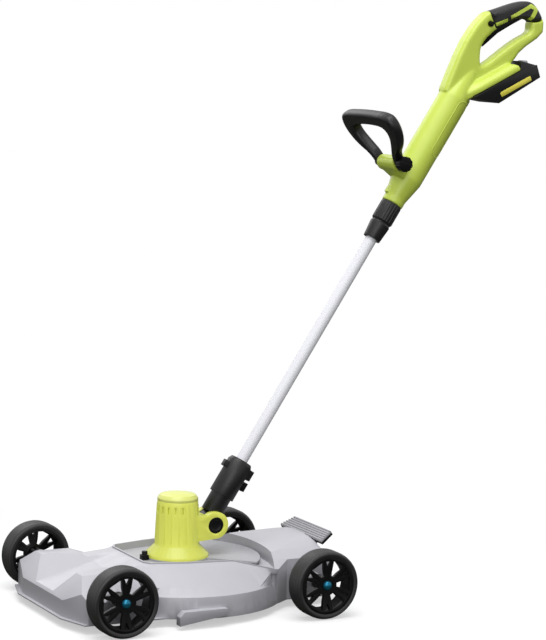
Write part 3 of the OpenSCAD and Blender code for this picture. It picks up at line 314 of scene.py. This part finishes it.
rod_steel = drawn_metal("drawn_steel", "#b9bcc0", "#9fa3a8", 0.3, (0, 1, 0))
cap_teal = drawn_metal("teal_lacquered_metal", "#1c7391", "#14607c", 0.26, (1, 1, 1), metallic=0.7)
for rod in ("front_axle", "rear_axle"):
    keep(rod, rod_steel)
keep("axle_caps", cap_teal)

# Wheels: black glass-filled polypropylene with six broad and six narrow windows,
# under a tread band of soft grey-black compound with fine grooves moulded round it.
wheel_pp = moulded("black_polypropylene", "#0d0d0e", "#09090a", 0.42, 0.8, 0.04, gloss=0.14)
tread_rubber = moulded("dark_grey_tread", "#1e1e1f", "#171718", 0.5, 0.7, 0.05, gloss=0.5)
wheel_r, tread_t, wheel_out, axle_out = 65, 11, 214.5, 205


def lathe(profile, steps, place, axis, side):
    """A closed profile of (radius, height) pairs, turned round an axis; side is a direction across it."""
    axis, side = Vector(axis).normalized(), Vector(side).normalized()
    other = axis.cross(side)
    points, faces, count = [], [], len(profile)
    for i in range(steps):
        turn = 2 * math.pi * i / steps
        out = side * math.cos(turn) + other * math.sin(turn)
        points += [Vector(place) + out * r * MM + axis * h * MM for r, h in profile]
    for i in range(steps):
        a, b = i * count, (i + 1) % steps * count
        faces += [(a + j, b + j, b + (j + 1) % count, a + (j + 1) % count) for j in range(count)]
    mesh = bpy.data.meshes.new("turned")
    mesh.from_pydata(points, [], faces)
    form = bmesh.new()
    form.from_mesh(mesh)
    bmesh.ops.remove_doubles(form, verts=form.verts, dist=1e-6)
    bmesh.ops.dissolve_degenerate(form, edges=form.edges, dist=1e-7)
    bmesh.ops.recalc_face_normals(form, faces=form.faces)
    form.to_mesh(mesh)
    form.free()
    return mesh


rim_r = wheel_r - tread_t
tyre_side = [(rim_r, 20.2), (rim_r + 3, 21.6), (rim_r + 5.2, 21.9), (rim_r + 5.6, 21.2), (rim_r + 6.2, 21.6),
             (rim_r + 8.6, 20.2), (rim_r + 10, 17.6), (wheel_r - 0.3, 15)]
tread = []
groove_half, groove_pitch, groove_mm = 0.9, 5, 0.7
for i in range(-2, 3):
    y = -i * groove_pitch
    tread += [(wheel_r, y + groove_half + 0.5), (wheel_r - groove_mm, y + groove_half - 0.3),
              (wheel_r - groove_mm, y - groove_half + 0.3), (wheel_r, y - groove_half - 0.5)]
tyre_profile = tyre_side + tread + [(r, -h) for r, h in reversed(tyre_side)]
for end, x in (("front", -axle_out), ("rear", axle_out)):
    for hand, y in (("left", -wheel_out), ("right", wheel_out)):
        eased(f"wheel_{end}_{hand}", f"spoked_wheel_{end}_{hand}", 0.9, wheel_pp, degrees=28)
        hub = (motor_x + x * MM, y * MM, wheel_r * MM)
        tyre = put(f"tread_band_{end}_{hand}", lathe(tyre_profile, 128, hub, (0, 1, 0), (1, 0, 0)))
        smooth(tyre.data, 24)
        dress(tyre, f"tyre_{end}_{hand}", tread_rubber)

# Foot pedal: a ribbed grey tread on a black lever, hinged on a steel pin behind the hood.
# Pressing it down releases the trimmer from the deck.
pedal_abs = moulded("mid_grey_abs", "#98989c", "#8e8e92", 0.5, 0.8, 0.05)
eased("pedal_tread", "ribbed_pedal", 0.5, pedal_abs)
eased("pedal_lever", "pedal_arm", 0.7, wheel_pp)
keep("pedal_pin", rod_steel)
eased("dock_catch", "dock_slider", 0.6, wheel_pp)

# Trimmer head: lime ABS housing on a grey guard, with a ribbed body and a paler domed cap.
# Four screws hold the guard to the flange from below; the motor stands inside.
lime_abs = moulded("lime_abs", "#c2d354", "#b8ca4a", 0.36, 0.9, 0.03)
# The motor's upright walls are drawn lighter than its up-facing flange: painted light for lamplight on its fronts
motor_lime = moulded("yellow_lime_abs", "#c6cb55", "#bfc44f", 0.38, 0.9, 0.03, painted_wall_shading="#e2e763")
lid_lime = moulded("pale_lime_abs", "#d5da78", "#ccd16c", 0.36, 0.9, 0.03)
guard_abs = moulded("grey_guard_abs", "#a6a6aa", "#9d9da1", 0.46, 0.9, 0.05)
casing = eased("motor_housing", "motor_casing", 0.5, motor_lime)
vent_in, vent_out, vent_low, vent_high = 35.8, 36.8, 175, 193
vent_wall = [(vent_in, vent_low), (vent_out, vent_low), (vent_out, vent_high), (vent_in, vent_high)]
vent_floor = lathe(vent_wall, 72, (motor_x, 0, 0), (0, 0, 1), (1, 0, 0))
form = bmesh.new()
form.from_mesh(casing.data)
form.from_mesh(vent_floor)
form.to_mesh(casing.data)
form.free()
eased("motor_cap", "motor_lid", 0.5, lid_lime)
eased("guard", "cutting_guard", 0.8, guard_abs)

rib_count, rib_radius, rib_low, rib_tall, rib_fall = 18, 42.6, 119, 75, 3.4
rib_section = [(-1.7, -0.8), (-1.2, 0.5), (0, 0.9), (1.2, 0.5), (1.7, -0.8)]
rib_points, rib_faces, wide = [], [], len(rib_section)
for share, rise in ((0, 0), (0.05, 1), (0.95, 1), (1, 0)):
    rib_points += [((x if x < 0 else x * rise) * MM - share * rib_fall * MM, y * MM, share * rib_tall * MM)
                   for y, x in rib_section]
for k in range(3):
    rib_faces += [(k * wide + i, k * wide + (i + 1) % wide, (k + 1) * wide + (i + 1) % wide, (k + 1) * wide + i)
                  for i in range(wide)]
rib_faces += [tuple(range(wide)), tuple(range(3 * wide, 4 * wide))]
rib_mesh = bpy.data.meshes.new("rib")
rib_mesh.from_pydata(rib_points, [], rib_faces)
ring_tree = bpy.data.node_groups.new("ribs_in_a_ring", "GeometryNodeTree")
ring_tree.interface.new_socket("Rib", in_out="INPUT", socket_type="NodeSocketGeometry")
count_in = ring_tree.interface.new_socket("Count", in_out="INPUT", socket_type="NodeSocketInt")
radius_in = ring_tree.interface.new_socket("Radius", in_out="INPUT", socket_type="NodeSocketFloat")
centre_in = ring_tree.interface.new_socket("Centre", in_out="INPUT", socket_type="NodeSocketVector")
plastic_in = ring_tree.interface.new_socket("Plastic", in_out="INPUT", socket_type="NodeSocketMaterial")
ring_tree.interface.new_socket("Ribs", in_out="OUTPUT", socket_type="NodeSocketGeometry")
given = add(ring_tree, "NodeGroupInput")
ring = add(ring_tree, "GeometryNodeMeshCircle",
           {"Vertices": given.outputs["Count"], "Radius": given.outputs["Radius"]})
facing = add(ring_tree, "FunctionNodeAlignRotationToVector",
             {"Vector": add(ring_tree, "GeometryNodeInputPosition").outputs[0]}, axis="X", pivot_axis="Z")
stood = add(ring_tree, "GeometryNodeInstanceOnPoints",
            {"Points": ring.outputs["Mesh"], "Instance": given.outputs["Rib"], "Rotation": facing.outputs["Rotation"]})
half_step = math.pi / rib_count
moved = add(ring_tree, "GeometryNodeTransform",
            {"Geometry": stood.outputs[0], "Translation": given.outputs["Centre"], "Rotation": (0, 0, half_step)})
solid = add(ring_tree, "GeometryNodeRealizeInstances", {"Geometry": moved.outputs[0]})
finished = add(ring_tree, "GeometryNodeSetMaterial",
               {"Geometry": solid.outputs[0], "Material": given.outputs["Plastic"]})
add(ring_tree, "NodeGroupOutput", {"Ribs": finished.outputs[0]})
ribs = put("motor_ribs", rib_mesh)
repeat = ribs.modifiers.new("repeat", "NODES")
repeat.node_group = ring_tree
repeat[count_in.identifier] = rib_count
repeat[radius_in.identifier] = rib_radius * MM
repeat[centre_in.identifier] = (motor_x, 0, rib_low * MM)
repeat[plastic_in.identifier] = motor_lime
smooth(settle(ribs), 40)
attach(ribs, body_of["motor_housing"])
dark_steel = drawn_metal("motor_can_steel", "#70747a", "#5d6167", 0.4, (0, 0, 1))
for part in ("motor", "motor_shaft", "shaft_bearing"):
    keep(part, dark_steel)
for part in ("line_cutter", "guard_screws"):
    keep(part, rod_steel)

# Line head: a black cup on the motor shaft, with its spool, the orange line in steel eyelets,
# and the bump knob on its spring.
line_nylon = moulded("orange_nylon_line", "#d9682f", "#c65a26", 0.38, 1.2, 0.05)
eased("spool_housing", "spool_cup", 0.8, wheel_pp)
eased("bump_knob", "bump_button", 0.8, wheel_pp)
keep("line_spool", wheel_pp)
for part in ("line_winding", "cutting_line"):
    keep(part, line_nylon)
for part in ("line_eyelets", "spool_spring"):
    keep(part, rod_steel)

# Tilt joint: a black sleeve that turns on a steel pin in the lime barrel, with its release button.
# The sleeve clamps the shaft tube and carries a spring-loaded lock.
joint_nylon = moulded("black_nylon", "#121214", "#0e0e10", 0.42, 0.9, 0.05, gloss=0.36)
keep("pivot_pin", rod_steel)
dish = [(0, 2.4), (7.6, 2.4), (9, 1.9), (9.8, 0.9), (11, 0.3), (13.6, 0), (15, 0.4), (15.5, 1.2), (15.5, 5),
        (0, 5)]
pivot_back, pivot_high, release_out = 68, 150, 30
pivot = Vector((motor_x + pivot_back * MM, 0, pivot_high * MM))
release_at = pivot - Vector((0, release_out * MM, 0))
release = put("pivot_release", lathe(dish, 64, release_at, (0, 1, 0), (1, 0, 0)))
smooth(release.data, 35)
dress(release, "pivot_button", wheel_pp)
eased("joint_sleeve", "shaft_sleeve", 1.4, joint_nylon)
eased("shaft_lock_button", "sleeve_lock", 0.8, wheel_pp)

# Shaft: a silver anodised tube, and a steel tube that slides along it and is gripped by a collet.
# A black fluted collar twists to clamp them.
tilt = math.radians(57.3)
lean = Vector((math.cos(tilt), 0, math.sin(tilt)))
drop = Vector((math.sin(tilt), 0, -math.cos(tilt)))


def on_shaft(u, w, y=0):
    """A point u below and w along the shaft from its pivot, in millimetres."""
    return pivot + drop * u * MM + lean * w * MM + Vector((0, y * MM, 0))


tube_silver = drawn_metal("silver_anodised_aluminium", "#dedee3", "#dcdce1", 0.55, (0, 0, 1), metallic=0.0,
                          line_mm=40, turn_y=math.pi / 2 - tilt, vary=0.01)
tube_u, tube_r, tube_bore, tube_foot, tube_top = -8, 11.5, 9.9, 46, 736
ring_count = 60
tube_rings = [tube_foot + (tube_top - tube_foot) * i / ring_count for i in range(ring_count + 1)]
tube_wall = [(tube_r, w) for w in tube_rings] + [(tube_bore, w) for w in reversed(tube_rings)]
tube = put("silver_tube", lathe(tube_wall, 96, on_shaft(tube_u, 0), lean, (0, 1, 0)))
smooth(tube.data, 40)
dress(tube, "lower_tube", tube_silver)
keep("upper_tube", rod_steel)
keep("lock_collet", wheel_pp)
eased("twist_collar", "fluted_collar", 0.4, joint_nylon, degrees=26)

# Handle: two lime shells screwed together, from the collar's socket to the rear handle.
# The battery's seat stands out below it, and a boss ahead of it carries the loop.
handle_start, handle_long, handle_deep = 960, 265, 150
handle_half, grip_half = 17, 18.5
body_line = [
    (-0.26, 0), (-0.293, 0.06), (-0.38, 0.374), (-0.373, 0.562), (-0.313, 0.702), (-0.24, 0.74), (0, 0.906),
    (0.14, 0.974), (0.247, 0.985), (0.383, 0.96), (0.49, 0.923), (0.517, 0.9), (0.583, 0.836), (0.41, 0.628),
    (0.4, 0.521), (0.267, 0.257), (0.147, 0.094), (0.147, 0)]
hole_line = [
    (0.027, 0.332), (-0.05, 0.377), (-0.15, 0.48), (-0.06, 0.65), (0.06, 0.77), (0.223, 0.845),
    (0.32, 0.868), (0.35, 0.838), (0.404, 0.789), (0.297, 0.698), (0.197, 0.574)]
grip_line = [
    (-0.29, 0.714), (-0.24, 0.74), (0, 0.906), (0.14, 0.974), (0.247, 0.985), (0.383, 0.96), (0.49, 0.923),
    (0.34, 0.85), (0.32, 0.868), (0.223, 0.845), (0.06, 0.77), (-0.07, 0.631), (-0.155, 0.662)]
slot_line = [
    (-0.053, 0.445), (0.027, 0.626), (0.14, 0.743), (0.253, 0.841), (0.24, 0.868), (0.14, 0.893), (0, 0.804),
    (-0.17, 0.664), (-0.253, 0.506), (-0.253, 0.49)]


def curved(line, rounds):
    """Cuts the corners off a closed outline, so many times over, until it runs in curves."""
    for _ in range(rounds):
        line = [tuple(a * s + b * (1 - s) for a, b in zip(p, q))
                for p, q in zip(line, line[1:] + line[:1]) for s in (0.75, 0.25)]
    return line


def raised(outline, rings, origin=pivot, ax=drop, ay=lean, az=Vector((0, 1, 0))):
    """An outline in millimetres along ax and ay, raised along az through rings of (height, inset)."""
    count = len(outline)
    flat = [Vector(p) for p in outline]
    area = sum(flat[i - 1].x * flat[i].y - flat[i].x * flat[i - 1].y for i in range(count))
    inward = []
    for i in range(count):
        before, after = (flat[i] - flat[i - 1]).normalized(), (flat[(i + 1) % count] - flat[i]).normalized()
        both_ways = Vector((-before.y - after.y, before.x + after.x)) / max(0.5, 1 + before.dot(after))
        inward.append(both_ways * math.copysign(1, area))
    points = []
    for height, inset in rings:
        for p, way in zip(flat, inward):
            q = p + way * inset
            points.append(origin + (ax * q.x + ay * q.y + az * height) * MM)
    faces = [tuple(range(count)), tuple(range(len(points) - count, len(points)))]
    for k in range(len(rings) - 1):
        a, b = k * count, (k + 1) * count
        faces += [(a + i, a + (i + 1) % count, b + (i + 1) % count, b + i) for i in range(count)]
    mesh = bpy.data.meshes.new("raised")
    mesh.from_pydata(points, [], faces)
    form = bmesh.new()
    form.from_mesh(mesh)
    bmesh.ops.recalc_face_normals(form, faces=form.faces)
    form.to_mesh(mesh)
    form.free()
    return mesh


def round_edge(half, edge, outward=False):
    """Rings for a plate of that half thickness with round edges; outward gives a cut that leaves round edges."""
    arc = [math.radians(90 - 18 * k) for k in range(6)]
    way = -1 if outward else 1
    low = [(-half + edge * (1 - math.sin(a)), way * edge * (1 - math.cos(a))) for a in arc]
    if outward:
        low = [(-half - 20, -edge)] + low
    return low + [(-h, inset) for h, inset in reversed(low)]


def in_handle(line, rings, rounds=2):
    """An outline given in shares of the rear handle's depth and length, raised through the rings."""
    return raised([(u * handle_deep, handle_start + w * handle_long) for u, w in curved(line, rounds)], rings)


def cast(name, solids, cuts, voxel_mm, passes):
    """Solids joined and cut, then remade on a fine grid and relaxed, which rounds every edge as a mould does."""
    piece = put(name, solids[0])
    helpers = []
    for mesh, way in [(m, "UNION") for m in solids[1:]] + [(m, "DIFFERENCE") for m in cuts]:
        helper = put("helper", mesh)
        helpers.append(helper)
        join = piece.modifiers.new("join", "BOOLEAN")
        join.operation = way
        join.object = helper
        join.solver = "EXACT"
    grid = piece.modifiers.new("grid", "REMESH")
    grid.mode = "VOXEL"
    grid.voxel_size = voxel_mm * MM
    ease = piece.modifiers.new("ease", "SMOOTH")
    ease.factor = 0.5
    ease.iterations = passes
    smooth(settle(piece), 60)
    for helper in helpers:
        bpy.data.objects.remove(helper)
    return piece


def half_of(piece, name, side, seam_mm=0.12):
    """The part of the piece on one side of the seam that runs down the machine's middle."""
    mesh = piece.data.copy()
    form = bmesh.new()
    form.from_mesh(mesh)
    cut = bmesh.ops.bisect_plane(form, geom=form.verts[:] + form.edges[:] + form.faces[:], dist=1e-7,
                                 plane_co=(0, side * seam_mm * MM, 0), plane_no=(0, side, 0), clear_inner=True)
    rim = [e for e in cut["geom_cut"] if isinstance(e, bmesh.types.BMEdge)]
    bmesh.ops.triangle_fill(form, use_beauty=True, edges=rim, normal=(0, -side, 0))
    form.to_mesh(mesh)
    form.free()
    made = put(name, mesh)
    smooth(mesh, 60)
    return made


def through(half):
    """Rings for a plain block or cut of that half thickness."""
    return [(-half, 0), (half, 0)]


socket_w, barrel_r, trigger_half, shell_grid, shell_passes = 720, 31, 8.6, 1.6, 9
round_form = lathe([(0, 0), (22, 0), (22, 14), (barrel_r, 58), (barrel_r, 246), (16, 320), (0, 320)], 64,
                   on_shaft(tube_u, socket_w), lean, (0, 1, 0))
tube_way = lathe([(0, -2), (13.3, -2), (13.3, 188), (0, 188)], 48, on_shaft(tube_u, socket_w), lean, (0, 1, 0))
loop_at = on_shaft(-56, 786)
boss = lathe([(0, -31.7), (14, -31.7), (15.5, -30.2), (15.5, 30.2), (14, 31.7), (0, 31.7)], 48, loop_at,
             (0, 1, 0), (1, 0, 0))
boss_foot = raised([(-56, 770.5), (-26, 768), (-26, 806), (-56, 801.5)], round_edge(27, 6))
lug = raised([(-35, 733), (-20, 733), (-20, 746), (-35, 746)], through(6))
lock_hole = lathe([(0, -40), (5.6, -40), (5.6, 0), (0, 0)], 32,
                  on_shaft(-0.192 * handle_deep, handle_start + 0.64 * handle_long), (0, 1, 0), (1, 0, 0))
seat_way = Vector((0.897, 0, 0.442)).normalized()
seat_up = Vector((-0.442, 0, 0.897)).normalized()
seat_from = on_shaft(0.073 * handle_deep, handle_start + 0.094 * handle_long)
pack_way = raised([(-0.5, 0.3), (-0.5, -70), (200, -70), (200, 0.3)], through(70), seat_from, seat_way, seat_up)
trigger_way = in_handle(slot_line, through(trigger_half), 0)
seat_plan = [(-28, -19), (2, -32), (20, -36), (120, -36), (120, 36), (20, 36), (2, 32), (-28, 19)]
seat_form = raised(seat_plan, [(-2, 0), (9, 0), (13, 2.5), (18, 9), (22, 17)], seat_from, seat_way,
                   Vector((0, 1, 0)), seat_up)
shell = cast("shell_form", [in_handle(body_line, round_edge(handle_half, 8), 1), round_form, boss, boss_foot, lug,
                            seat_form],
             [in_handle(hole_line, round_edge(handle_half, 9, True)), in_handle(grip_line, through(60)), tube_way,
              trigger_way, lock_hole, pack_way], shell_grid, shell_passes)
for hand, side in (("left", -1), ("right", 1)):
    dress(half_of(shell, f"handle_shell_{hand}", side), f"housing_{hand}", lime_abs)
bpy.data.objects.remove(shell)

# Plate frames: a raised round bead on each shell, moulded in one with it.
# It borders a bare oval field on the barrel.
plate_u, plate_half, plate_ends, bead_r, bead_steps = 5, 13, (853, 953), 1, 64


def bead(name, path, radius_mm, material):
    """A round bead along a closed path of points in metres."""
    line = bpy.data.curves.new(name, "CURVE")
    line.dimensions = "3D"
    line.bevel_depth = radius_mm * MM
    line.bevel_resolution = 3
    spline = line.splines.new("POLY")
    spline.points.add(len(path) - 1)
    for point, at in zip(spline.points, path):
        point.co = (*at, 1)
    spline.use_cyclic_u = True
    guide = put("guide", line)
    mesh = bpy.data.meshes.new_from_object(guide.evaluated_get(bpy.context.evaluated_depsgraph_get()))
    bpy.data.objects.remove(guide)
    smooth(mesh, 60)
    mesh.materials.clear()
    mesh.materials.append(material)
    return put(name, mesh)


for hand, side in (("left", -1), ("right", 1)):
    frame_line = []
    for k in range(bead_steps):
        a = 2 * math.pi * k / bead_steps
        u = plate_u + plate_half * math.cos(a)
        w = plate_ends[0 if math.sin(a) < 0 else 1] + plate_half * math.sin(a)
        y = math.sqrt((barrel_r - 0.3) ** 2 - (u - tube_u) ** 2)
        frame_line.append(on_shaft(u, w, side * y))
    border = bead(f"plate_frame_{hand}", frame_line, bead_r, lime_abs)
    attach(border, "upper")

# Grip: black soft rubber moulded over the rear handle, with the trigger in its slot.
# Lime inlays show through on both sides.
grip_rubber = moulded("black_soft_grip", "#161618", "#111113", 0.62, 1.1, 0.1)
grip = cast("soft_grip", [in_handle(grip_line, round_edge(grip_half, 12))], [trigger_way, lock_hole], 1.2, 7)
dress(grip, "grip", grip_rubber)
inlay_swell = 0.4
inlay_lines = {
    "long": [(0, 1168), (6, 1164), (30, 1206), (38, 1208), (40, 1187), (48, 1187), (47, 1215), (43, 1217),
             (26, 1214)],
    "short": [(-20, 1138), (-14, 1134), (3, 1156), (-3, 1160)]}
for label, outline in inlay_lines.items():
    for hand, low, high in (("left", -30, -9), ("right", 9, 30)):
        inlay = put(f"grip_inlay_{label}_{hand}", raised(outline, [(low, 0), (high, 0)]))
        cover = put("cover", grip.data.copy())
        swell = cover.modifiers.new("swell", "DISPLACE")
        swell.strength = inlay_swell * MM
        swell.mid_level = 0
        settle(cover)
        trim = inlay.modifiers.new("trim", "BOOLEAN")
        trim.operation = "INTERSECT"
        trim.object = cover
        trim.solver = "EXACT"
        smooth(settle(inlay), 50)
        bpy.data.objects.remove(cover)
        inlay.data.materials.clear()
        inlay.data.materials.append(lime_abs)
        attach(inlay, "upper")
eased("trigger", "finger_trigger", 1.2, wheel_pp)
eased("lock_off_button", "lock_off", 0.8, wheel_pp)
for part in ("trigger_pin", "housing_screws", "loop_bolt"):
    keep(part, rod_steel)
keep("switch", wheel_pp)
contact_brass = drawn_metal("contact_brass", "#b48a45", "#9f7838", 0.4, (0, 1, 0))
keep("terminal_block", contact_brass)

# Loop handle: a closed black loop on a bolt through the lime boss, clamped by a fluted knob.
# Its bar is nearly round in section.
loop_lean = math.radians(64)
loop_way = lean * math.cos(loop_lean) - drop * math.sin(loop_lean)
loop_face = drop * math.cos(loop_lean) + lean * math.sin(loop_lean)
loop_wide, loop_long, loop_half = 200, 118, 12
loop_edge = [(0.225, -0.12), (0.225, 0.15), (0.4, 0.36), (0.49, 0.6), (0.5, 0.83), (0.43, 0.98), (0.1, 1)]
loop_hole = [(0.162, -0.2), (0.162, 0.16), (0.25, 0.36), (0.325, 0.55), (0.33, 0.67), (0.27, 0.745), (0.1, 0.77)]


def in_loop(line, rings, rounds):
    """Half an outline in shares of the loop's width and length, mirrored and raised through the rings."""
    right_side = [(y * loop_wide, d * loop_long) for y, d in line]
    outline = curved(right_side + [(-y, d) for y, d in reversed(right_side)], rounds)
    return raised(outline, rings, loop_at, Vector((0, 1, 0)), loop_way, loop_face)


loop_bar = cast("front_loop", [in_loop(loop_edge, round_edge(loop_half, 9), 2)],
                [in_loop(loop_hole, round_edge(loop_half, 8, True), 2)], 1.4, 10)
dress(loop_bar, "loop_handle", joint_nylon)
eased("loop_knob", "clamp_knob", 0.8, wheel_pp)

# Battery: a black pack that slides on below the seat, with a latch button at its tail.
# A plain yellow band lies along each side.
eased("battery_pack", "battery_case", 1.8, joint_nylon)
eased("battery_release", "battery_latch", 0.6, pedal_abs)
band_line = [(58, -18), (131, -18), (133, -20), (133, -26), (131, -28), (58, -28), (56, -26), (56, -20)]
band_in, band_edge, band_out, band_round = 37.6, 38.1, 38.3, 0.3
band_yellow = moulded("yellow_film", "#d9cf4e", "#cfc443", 0.4, 1.5, 0.02)
for hand, side in (("left", -1), ("right", 1)):
    rings = [(side * band_in, 0), (side * band_edge, 0), (side * band_out, band_round)]
    band = put(f"battery_band_{hand}", raised(band_line, rings, seat_from, seat_way, seat_up))
    smooth(band.data, 40)
    band.data.materials.append(band_yellow)
    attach(band, "battery")
